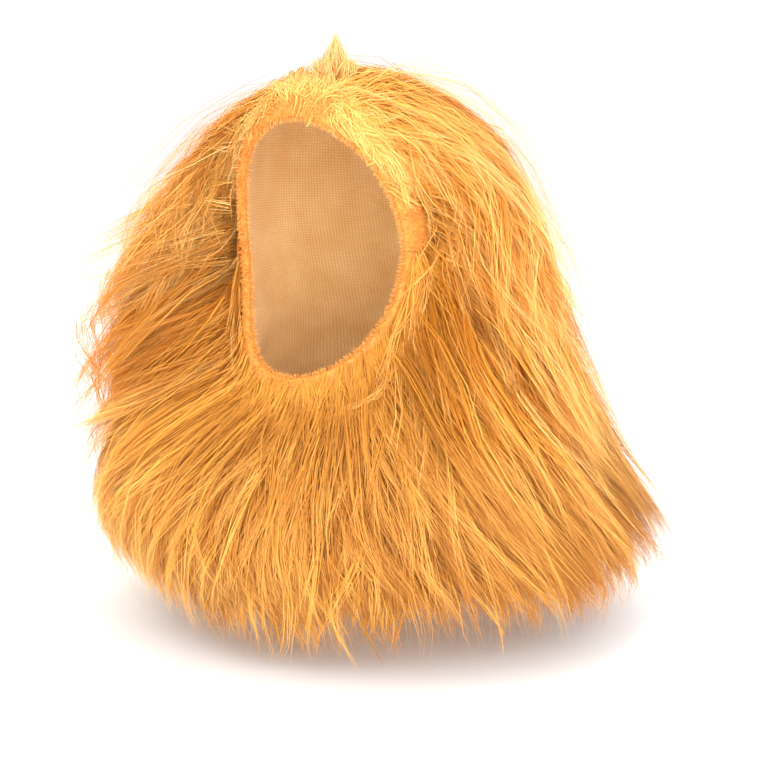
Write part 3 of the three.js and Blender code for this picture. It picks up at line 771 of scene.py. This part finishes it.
def long_pile():
    """An under layer of wide strands, fine ones over it, hair beside the band, and wisps over all."""
    parts = [[] for _ in REGIONS]

    def add(angle, distance, **how):
        made, guide, crossing = grow(angle, distance, **how)
        place = np.where(crossing, -1, region(angle, distance))
        for index, part in enumerate(parts):
            chosen = place == index
            if chosen.any():
                part.append(pick_ribbons(made, guide, chosen))

    def heads(angle, distance, elsewhere, nape):
        return np.where(region(angle, distance) == NAPE, nape, elsewhere)

    angle, distance = roots(10 * MM, 21)
    add(
        angle, distance,
        length=lengths(distance, 95 * MM, 135 * MM),
        reach=rng.uniform(0.2, 0.75, len(angle)),
        per_guide=heads(angle, distance, 6, 5), spread=8 * MM, width=2.0 * MM,
        # A lower tint for the under layer: painted shade for hair that lies deep under the rest.
        tint=tone(angle, distance, 0.42),
        loose=0.1, clump=0.6, steps=COARSE,
    )
    for row in LONG_SETS:
        angle, distance = roots(row["spacing"], row["seed"])
        chosen = distance < row["top"]
        angle, distance = angle[chosen], distance[chosen]
        locks = gather_locks(LOCK_SPACING, row["seed"] + 40)
        low = smooth(50 * MM, 150 * MM, distance)
        fuller = 0.06 * beside_face(angle, distance) + 0.09 * haunch(angle, distance)
        fuller = 1 + (fuller - 0.14 * temple(distance))
        add(
            angle, distance,
            length=lengths(distance, 155 * MM, 220 * MM),
            reach=fuller * mix(rng.uniform(0.92, 1.06, len(low)), rng.uniform(0.95, 1.12, len(low)), low),
            per_guide=heads(angle, distance, *row["heads"]), spread=8 * MM, width=0.62 * MM,
            tint=tone(angle, distance, row["tint"]),
            loose=0.13, clump=0.9, locks=locks, lift=mix(0.3, 1.0, low), least=0.2,
            deep=mix(0.0, rng.uniform(0.3, 0.75, len(angle)), low),
        )
    for turns, count, start, margins, span, reaches, tint, strands in EDGE_SETS:
        turn = rng.uniform(*turns, count) * math.pi
        angle, distance = face_edge(turn, start + rng.uniform(*margins, count) * MM)
        add(
            angle, distance,
            length=rng.uniform(*span, count) * MM,
            reach=rng.uniform(*reaches, count),
            tint=tone(angle, distance, tint),
            **strands,
        )
    angle, distance = roots(19 * MM, 57)
    low = smooth(50 * MM, 150 * MM, distance)
    flatter = 1 - 0.6 * smooth(1.2, 1.5, np.abs(angle))
    add(
        angle, distance,
        length=lengths(distance, 140 * MM, 200 * MM),
        reach=rng.uniform(0.98, 1.08, len(angle)),
        per_guide=8, spread=6.5 * MM, width=0.48 * MM,
        tint=tone(angle, distance, 0.85),
        loose=0.3, clump=0.95, wave=1.4, straggle=12.0,
        lift=mix(0.3, 0.9, low), deep=mix(0.0, 0.6, low),
        arc=rng.uniform(1, 18, len(angle)) * MM * flatter,
    )
    for (name, node), part in zip(REGIONS, parts):
        verts, faces, uvs = stack_ribbons(part)
        make_piece(name, verts, faces, gold_pile, node, uvs)


# The tuft: one upright plume on the crown with lower ones round it
TUFT_RADIUS, TUFT_FORWARD = 17 * MM, 9 * MM
TUFT_HAIRS, PLUMES = 2300, 9
PLUME_HEIGHT, LOW_PLUMES = 38.5, (15, 25)
PLUME_SHARE = 0.42
TUFT_BASE = 2.5 * MM


def tuft_pile():
    low_plumes = PLUMES - 1
    turn = np.concatenate([[0], np.arange(low_plumes) / low_plumes * 2 * math.pi + 0.3])
    out = np.concatenate([[0], rng.uniform(0.55, 1.0, low_plumes) * TUFT_RADIUS])
    heights = np.concatenate([[PLUME_HEIGHT], rng.uniform(*LOW_PLUMES, low_plumes)]) * MM
    foot = np.stack([out * np.cos(turn), out * np.sin(turn)], -1)
    share_of = np.concatenate([[PLUME_SHARE], np.full(low_plumes, (1 - PLUME_SHARE) / low_plumes)])
    plume = rng.choice(PLUMES, TUFT_HAIRS, p=share_of)
    spread = np.where(plume == 0, 5.5, 4.0) * MM
    root = foot[plume] * 0.8 + rng.normal(0, 1, (TUFT_HAIRS, 2)) * spread[:, None]
    span = np.linalg.norm(root, axis=1, keepdims=True)
    root = root * np.minimum(1, TUFT_RADIUS / np.maximum(span, 1e-6))
    tip = foot[plume] * 1.35 + rng.normal(0, 1.0, (TUFT_HAIRS, 2)) * MM
    stray = rng.random(TUFT_HAIRS) < 0.2
    tip = tip + np.where(stray[:, None], rng.normal(0, 6, (TUFT_HAIRS, 2)) * MM, 0)
    trim = np.where(stray, rng.uniform(0.35, 0.85, TUFT_HAIRS), rng.uniform(0.45, 1.0, TUFT_HAIRS))
    at = SHARES[None, :, None] * trim[:, None, None]
    path = mix(root[:, None, :], tip[:, None, :], at**1.25)
    path = path + 0.6 * MM * np.sin(6 * at + rng.uniform(0, 6, (TUFT_HAIRS, 1, 1))) * at
    z = TUFT_BASE + (heights[plume][:, None, None] - TUFT_BASE) * at
    points = np.concatenate([path - np.array([0, TUFT_FORWARD]), z], -1)
    spin = rng.uniform(0, 2 * math.pi, TUFT_HAIRS)
    flat = np.zeros(TUFT_HAIRS)
    lateral = np.stack([np.cos(spin), np.sin(spin), flat], -1)[:, None, :]
    outward = np.stack([-np.sin(spin), np.cos(spin), flat], -1)[:, None, :]
    width = np.full(TUFT_HAIRS, 0.6 * MM)
    made = ribbons(points, lateral, outward, width, rng.uniform(0.1, 0.95, TUFT_HAIRS), turned=0.75)
    verts, faces, uvs = stack_ribbons([made])
    make_piece("tuft_pile", verts, faces, pale_pile, "top_tuft", uvs)


# The hood: a knitted shell, open at the face and the neck
WEAVE_SCALE = 20
WAVE_RATE = 2 * math.pi / 20
WEAVE_RADIUS = 95 * MM


def grid_faces(rows, columns, start=0, flip=False):
    """Quads between rows of points. Each row is a closed ring."""
    r, c = np.meshgrid(np.arange(rows - 1), np.arange(columns), indexing="ij")
    a = start + r * columns + c
    b = start + r * columns + (c + 1) % columns
    quads = np.stack([a, b, b + columns, a + columns], -1).reshape(-1, 4)
    return quads[:, ::-1] if flip else quads


def knit_material(name, light, dark, wale, course):
    """A fine jersey: ribs and rows from the map, colour that varies softly, painted shade in the hollows
    between the loops, and its relief.
    """
    material, nodes, shader = new_material(name, roughness=0.88, specular=0.18, sheen=0.12)
    weave = uv_map(nodes, WEAVE_MAP)
    scales = [(way, WAVE_RATE / (pitch * WEAVE_SCALE)) for way, pitch in (("X", wale), ("Y", course))]
    loops = crossed_waves(nodes, weave, scales, distortion=0.6, detail=1.0)
    patches = noise(nodes, Scale=1.6, Detail=6, Vector=weave)
    blotch = ramp(nodes, patches, [(0.3, linear(*dark)), (0.72, linear(*light))])
    # Painted shade: darker where the loops' relief is low.
    stitch_painted_shade = ramp(nodes, loops, [(0.0, (0.78, 0.75, 0.72, 1)), (0.6, (1, 1, 1, 1))])
    colour = blend(nodes, 1.0, blotch, stitch_painted_shade, "MULTIPLY")
    cover(nodes, shader, colour, loops, (0.96, 0.82), loops, 0.9, 0.5 * MM)
    return material


GATHER_DEPTH, FOLD_DEPTH, SLACK_DEPTH, WRINKLE_DEPTH = 0.55 * MM, 0.9 * MM, 0.8 * MM, 1.6 * MM


def hood_shell():
    """Rings of points from the edge of the face opening to the neck edge, outside and inside."""
    columns, rows = 140, 44
    turn = np.arange(columns) / columns * 2 * math.pi
    inner = flat_place(*face_edge(turn, 0.0))
    outer = flat_place(math.pi - turn, NECK_DISTANCE)
    share = (np.arange(rows) / (rows - 1))[:, None, None]
    angle, distance = from_flat(mix(inner, outer, share))
    # Gathers beside the face edge and soft folds towards the neck.
    s = share[..., 0]
    gathers = np.sin(turn * 46 + 1.3 * np.sin(turn * 5))[None, :] * np.exp(-s * 16)
    folds = np.sin(angle * 9 + 2.2 * np.sin(distance * 31)) * smooth(0.45, 0.95, s)
    slack = ripple(angle, distance, 34 * MM, 5)
    push = GATHER_DEPTH * gathers + FOLD_DEPTH * folds + SLACK_DEPTH * slack
    skin = over_hood(angle, distance, np.clip(push, -1.6 * MM, 0.0) - 0.1 * MM)
    wrinkle = np.sin(distance * 95 + 1.6 * np.sin(angle * 3 + 0.7) + 0.8 * np.sin(angle * 7))
    wrinkle = wrinkle * smooth(0.25, 0.6, s) * (0.5 + 0.5 * np.sin(angle * 2.3 + distance * 17))
    inside = np.minimum(-BACKING_WALL - 1.2 * MM + push * 1.2 + WRINKLE_DEPTH * wrinkle, -1.5 * MM)
    lining = over_hood(angle, distance, mix(-BACKING_WALL, inside, smooth(0.0, 0.06, s)))
    points = np.concatenate([skin.reshape(-1, 3), lining.reshape(-1, 3)])
    size = rows * columns
    faces = [grid_faces(rows, columns), grid_faces(rows, columns, size, flip=True)]
    ring = np.arange(columns)
    next_ring = (ring + 1) % columns
    for row in (0, rows - 1):
        a, b = row * columns + ring, row * columns + next_ring
        edge = np.stack([a, a + size, b + size, b], -1)
        faces.append(edge if row == 0 else edge[:, ::-1])
    faces = [np.concatenate(faces)]
    # The bake map has a ring for each side of the cloth.
    circle = (0.06 + 0.19 * share)[..., 0]
    spread = np.stack([np.cos(turn)[None] * circle, np.sin(turn)[None] * circle], -1)
    bake = np.concatenate([(spread + [0.25, 0.5]).reshape(-1, 2), (spread + [0.75, 0.5]).reshape(-1, 2)])
    piece = make_piece("hood_lining", points, faces, hood_knit, "hood_backing", bake)
    weave = np.stack([np.abs(angle) * WEAVE_RADIUS, distance], -1).reshape(-1, 2) * WEAVE_SCALE
    weave = np.concatenate([weave, weave])
    loops = np.zeros(len(piece.data.loops), np.int32)
    piece.data.loops.foreach_get("vertex_index", loops)
    layer = piece.data.uv_layers.new(name=WEAVE_MAP)
    layer.data.foreach_set("uv", weave[loops].astype(np.float32).ravel())


hood_knit = knit_material("hood_knit", (250, 208, 146), (238, 188, 122), 3.0 * MM, 2.2 * MM)


# The plush band, in two lengths with a seam beside the jaw. Its section, in mm: how far out from the
# opening's edge, and how high over the hood. It turns over the edge of the hood.
BAND_SECTION = np.array([
    [2.5, -3.3], [0.4, -3.5], [-1.1, -2.9], [-1.7, -1.5], [-1.5, 0.2], [-0.6, 1.7], [1.2, 2.7],
    [4.0, 3.2], [8.0, 3.4], [12.0, 3.4], [15.5, 3.1], [18.2, 2.4], [19.7, 1.3], [20.0, 0.5],
    [14.0, 0.3], [7.0, 0.3], [1.5, 0.2], [-0.5, -0.6], [-0.6, -2.0], [0.6, -2.7],
]) * MM
FACE_SIDE = slice(1, 14)
BAND_SEAM = 0.004
BAND_ROWS = 130
PLUSH_HAIRS, PLUSH_LENGTH, PLUSH_WIDTH = 9000, (2.4, 5.4), 0.5 * MM
PLUSH_ROOT = 0.4 * MM
PLUSH_STEPS = (np.array([0.0, 0.5, 1.0]), np.array([1.0, 0.8]))


def band(name, node, start, end, tint):
    """A padded strip with short hair on all of it that shows."""
    turn = np.linspace(start, end, BAND_ROWS)
    angle, distance = face_edge(turn[:, None], BAND_SECTION[None, :, 0])
    soft = 0.2 * MM * np.sin(turn * 23)[:, None] * (BAND_SECTION[None, :, 1] > 1 * MM)
    strip = over_hood(angle, distance, BAND_SECTION[None, :, 1] + soft).reshape(-1, 3)
    strip_faces = grid_faces(BAND_ROWS, len(BAND_SECTION), flip=True)
    strip_uvs = np.full((len(strip), 2), 0.3)
    outline = BAND_SECTION[FACE_SIDE]
    run = np.concatenate([[0], np.cumsum(np.linalg.norm(np.diff(outline, axis=0), axis=1))])
    own_turn = rng.uniform(start, end, PLUSH_HAIRS)
    own_run = rng.uniform(0, run[-1], PLUSH_HAIRS)

    def on_outline(step):
        return np.stack([np.interp(own_run + step, run, outline[:, k]) for k in (0, 1)], -1)

    here = on_outline(0)
    bearing = unit(on_outline(0.5 * MM) - on_outline(-0.5 * MM))
    outwards, upwards = bearing[:, :1], bearing[:, 1:]
    flat = np.zeros(PLUSH_HAIRS)
    angle, distance = face_edge(own_turn, here[:, 0])
    outward = directions(angle, distance)[2]
    edge_angle, edge_distance = face_edge(own_turn, here[:, 0] + 1 * MM)
    away = unit(over_hood(edge_angle, edge_distance, flat) - over_hood(angle, distance, flat))
    lateral = np.cross(outward, away)
    root = over_hood(angle, distance, here[:, 1]) + PLUSH_ROOT * (away * upwards - outward * outwards)
    upright = np.maximum(outwards, 0)
    length = rng.uniform(*PLUSH_LENGTH, PLUSH_HAIRS) * MM
    comb_down = (np.array([0, 0, -0.5]) + rng.normal(0, 0.42, (PLUSH_HAIRS, 3))) * mix(0.4, 1, upright)
    lean = unit(away * (0.5 * upright - 0.9 * upwards) + outward * (0.75 * outwards) + comb_down)
    hairs = root[:, None] + lean[:, None] * (length[:, None] * PLUSH_STEPS[0])[..., None]
    hairs[:, 2] -= outward * (length * 0.22)[:, None]
    tints = tint + rng.normal(0, 0.2, PLUSH_HAIRS)
    width = np.full(PLUSH_HAIRS, PLUSH_WIDTH)
    hair = ribbons(hairs, lateral[:, None], outward[:, None], width, tints, PLUSH_STEPS, turned=0.7)
    verts, hair_faces, hair_uvs = stack_ribbons([hair])
    base = len(strip)
    faces = [np.concatenate([strip_faces, hair_faces[0] + base]), hair_faces[1] + base]
    points, uvs = np.concatenate([strip, verts]), np.concatenate([strip_uvs, hair_uvs])
    make_piece(name, points, faces, plush_pile, node, uvs)


# The neck hem: a bound edge inside the hood with two rows of stitches
HEM_WIDTH = 16 * MM
HEM_LIFT = BACKING_WALL + 0.7 * MM
HEM_MIDDLE, HEM_HALF_THICKNESS, HEM_PUCKER = 1.0 * MM, 0.95 * MM, 0.22 * MM
STITCH_ROWS = (4 * MM, 12 * MM)
STITCH_COUNT, STITCH_LENGTH, STITCH_THICKNESS = 150, 3.0 * MM, 0.32 * MM
STITCH_DEPTH = BACKING_WALL + 2.75 * MM
STITCH_RINGS, STITCH_SIDES = 4, 5


def neck_hem():
    columns, rows = 240, 14
    turn = np.arange(columns) / columns * 2 * math.pi
    pucker = HEM_PUCKER * np.sin(turn * 90 + 0.7 * np.sin(turn * 7))
    points = []
    for i in range(rows):
        t = i / rows * 2 * math.pi
        place = NECK_DISTANCE - HEM_WIDTH * (0.5 - 0.5 * math.cos(t))
        height = -HEM_LIFT - (HEM_MIDDLE + HEM_HALF_THICKNESS * math.sin(t))
        points.append(over_hood(turn, np.full(columns, place), height + pucker))
    ring = np.arange(columns)
    next_ring = (ring + 1) % columns
    last = (rows - 1) * columns
    closing = np.stack([last + ring, last + next_ring, next_ring, ring], -1)
    faces = [np.concatenate([grid_faces(rows, columns), closing])]
    uvs = np.stack([np.tile(ring / columns, rows), np.repeat(np.arange(rows) / rows, columns)], -1)
    make_piece("neck_binding", np.concatenate(points), faces, binding, "neck_hem", uvs)


def hem_stitches(name, place):
    """A row of small raised thread stitches round the hem."""
    turn = np.arange(STITCH_COUNT) / STITCH_COUNT * 2 * math.pi
    distance = np.full(STITCH_COUNT, NECK_DISTANCE - place)
    depth = np.full(STITCH_COUNT, -STITCH_DEPTH)
    verts, faces = [], []
    for here, beside in zip(over_hood(turn, distance, depth), over_hood(turn + 0.01, distance, depth)):
        run = Vector(beside - here).normalized()
        up = run.orthogonal().normalized()
        side = run.cross(up)
        start = len(verts)
        for k in range(STITCH_RINGS):
            t = k / (STITCH_RINGS - 1)
            size = STITCH_THICKNESS * math.sin(math.pi * (0.12 + 0.76 * t))
            middle = Vector(here) + run * (STITCH_LENGTH * (t - 0.5))
            for j in range(STITCH_SIDES):
                a = j / STITCH_SIDES * 2 * math.pi
                verts.append(middle + up * (size * math.cos(a)) + side * (size * math.sin(a)))
        for k in range(STITCH_RINGS - 1):
            for j in range(STITCH_SIDES):
                a = start + k * STITCH_SIDES + j
                b = start + k * STITCH_SIDES + (j + 1) % STITCH_SIDES
                faces.append((a, b, b + STITCH_SIDES, a + STITCH_SIDES))
    points = np.array(verts)
    uvs = np.full((len(points), 2), 0.5)
    make_piece(name, points, [np.array(faces)], thread, "neck_hem", uvs)


def thread_material(name, colour):
    material, nodes, shader = new_material(name, roughness=0.6, specular=0.3, sheen=0.1)
    fibres = noise(nodes, Scale=900, Vector=object_place(nodes))
    dark = tuple(0.72 * c for c in linear(*colour)[:3]) + (1,)
    tint = ramp(nodes, fibres, [(0.35, dark), (0.65, linear(*colour))])
    cover(nodes, shader, tint, fibres, (0.7, 0.5), fibres, 0.4, 0.1 * MM)
    return material


def binding_material(name, light, dark):
    material, nodes, shader = new_material(name, roughness=0.82, specular=0.2, sheen=0.1)
    scales = [("DIAGONAL", 320), ("Z", 320)]
    weave = crossed_waves(nodes, object_place(nodes), scales, distortion=0.5, detail=2.0)
    tint = ramp(nodes, weave, [(0.0, linear(*dark)), (0.7, linear(*light))])
    cover(nodes, shader, tint, weave, (0.92, 0.74), weave, 0.5, 0.3 * MM)
    return material


binding = binding_material("binding_weave", (196, 142, 84), (150, 100, 54))
thread = thread_material("gold_thread", (226, 168, 92))

long_pile()
tuft_pile()
hood_shell()
band("brow_plush", "brow_band", -math.pi / 2 + BAND_SEAM, math.pi / 2 - BAND_SEAM, 0.5)
band("chin_plush", "chin_band", math.pi / 2 + BAND_SEAM, 3 * math.pi / 2 - BAND_SEAM, 0.3)
neck_hem()
for row, place in enumerate(STITCH_ROWS):
    hem_stitches(f"hem_stitches_{row + 1}", place)


# Camera, floor and light
YAW, TILT = math.radians(35), math.radians(12)
LENS, SENSOR, PIXELS = 100.0, 36.0, 762
DISTANCE = 1.588
# Where the crown lies in the picture.
CROWN_PIXEL = (343.0, 83.0)
back = Vector((math.sin(YAW) * math.cos(TILT), -math.cos(YAW) * math.cos(TILT), math.sin(TILT)))
right = Vector((math.cos(YAW), math.sin(YAW), 0))
up = back.cross(right)
per_pixel = DISTANCE * SENSOR / LENS / PIXELS
aside = (CROWN_PIXEL[0] - PIXELS / 2) * per_pixel
below = (CROWN_PIXEL[1] - PIXELS / 2) * per_pixel
camera_data = bpy.data.cameras.new("camera")
camera_data.lens = LENS
camera_data.sensor_width = SENSOR
camera = add_object("camera", camera_data)
camera.matrix_world = Matrix.Translation(back * DISTANCE - right * aside + up * below) @ Matrix(
    (right, up, back)
).transposed().to_4x4()
bpy.context.scene.camera = camera

FLOOR_DROP = 424 * MM
FLOOR_RADIUS = 2.4
FLOOR_SIDES = 64
floor_mesh = bpy.data.meshes.new("floor")
rim_turn = np.arange(FLOOR_SIDES) / FLOOR_SIDES * 2 * math.pi
rim = [(FLOOR_RADIUS * math.cos(a), FLOOR_RADIUS * math.sin(a), -FLOOR_DROP) for a in rim_turn]
floor_mesh.from_pydata(rim, [], [tuple(range(FLOOR_SIDES))])
floor = add_object("floor", floor_mesh)
floor_material, _, floor_shader = new_material("pale_floor", roughness=0.7, specular=0.2)
wire(floor_shader, {"Base Color": (0.97, 0.968, 0.965, 1)})
floor_mesh.materials.append(floor_material)


def area_light(name, place, target, size, power, colour=(1, 1, 1)):
    data = bpy.data.lights.new(name, "AREA")
    data.shape = "DISK"
    data.size = size
    data.energy = power
    data.color = colour
    light = add_object(name, data)
    light.location = place
    direction = Vector(target) - Vector(place)
    light.rotation_euler = direction.to_track_quat("-Z", "Y").to_euler()


middle = Vector((0, 0, -0.2))
area_light("key", middle + back * 1.3 - right * 0.9 + up * 0.9, middle, 1.4, 16, (1, 0.99, 0.97))
area_light("fill", middle + back * 1.3 + right * 0.5 + up * 0.1, middle, 1.4, 19, (1, 0.99, 0.98))
area_light("top", middle + Vector((0, 0.25, 1.6)), middle, 1.3, 10)
area_light("rim", middle - back * 1.2 + right * 0.7 + up * 0.9, middle, 1.0, 6)

world = bpy.data.worlds.new("world")
world.use_nodes = True
wire(world.node_tree.nodes["Background"], {"Color": (1, 1, 1, 1), "Strength": 1.02})
bpy.context.scene.world = world
bpy.context.scene.view_settings.view_transform = "Standard"
bpy.context.scene.view_settings.look = "None"
